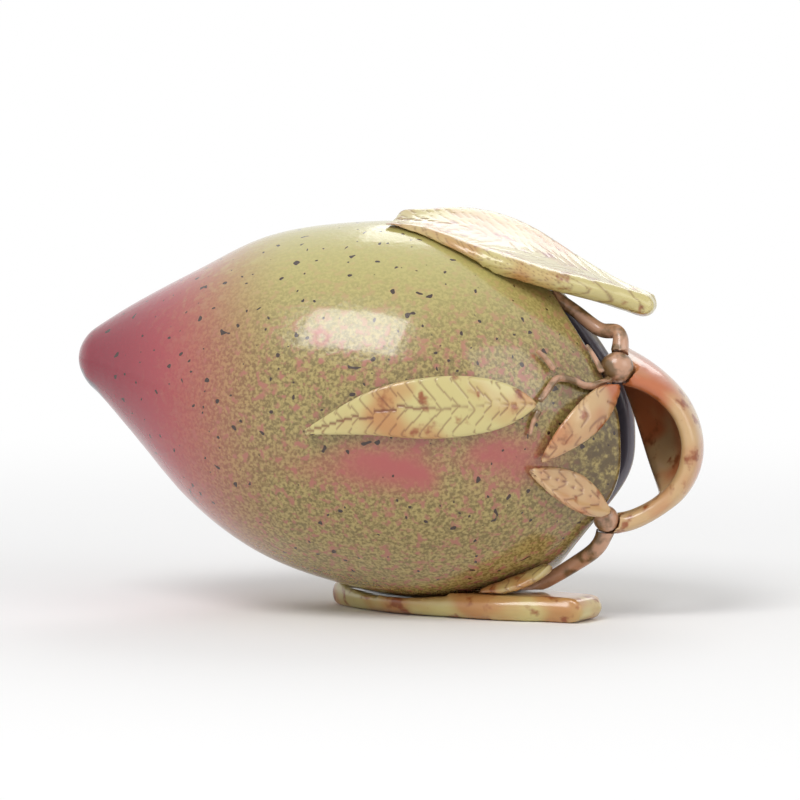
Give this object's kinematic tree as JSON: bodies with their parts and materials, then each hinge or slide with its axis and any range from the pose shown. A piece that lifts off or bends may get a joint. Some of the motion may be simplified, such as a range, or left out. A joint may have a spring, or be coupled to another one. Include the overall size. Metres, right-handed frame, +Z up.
{
  "type": "water coupe",
  "caption": "Peach-shaped porcelain water coupe on a leaf foot, with a curled leaf loop, stems and moulded leaves.",
  "frame": {"origin": "middle of the whole object's footprint box, on the table", "axes": "+X along the fruit to its open stem end, +Z up, -Y to the side with the moulded leaf"},
  "size_m": [0.1272, 0.075, 0.0808],
  "materials": {
    "fruit": "gloss",
    "leaf": "gloss",
    "orange_leaf": "gloss",
    "stem": "gloss"
  },
  "bodies": {
    "root": {"body_front_half": "fruit", "body_back_half": "fruit", "foot_leaf": "leaf", "back_leaf": "leaf", "upper_knot": "stem", "lower_knot": "stem", "arch_stem": "stem", "lower_stem": "stem", "loop_leaf": "orange_leaf", "upper_bud_leaf": "orange_leaf", "lower_bud_leaf": "orange_leaf", "belly_bud_leaf": "leaf", "sprig_leaf": "leaf", "main_twig": "stem", "stub_twig": "stem", "thorn_twig": "stem", "hanging_twig": "stem", "rising_twig": "stem"}
  },
  "joints": []
}
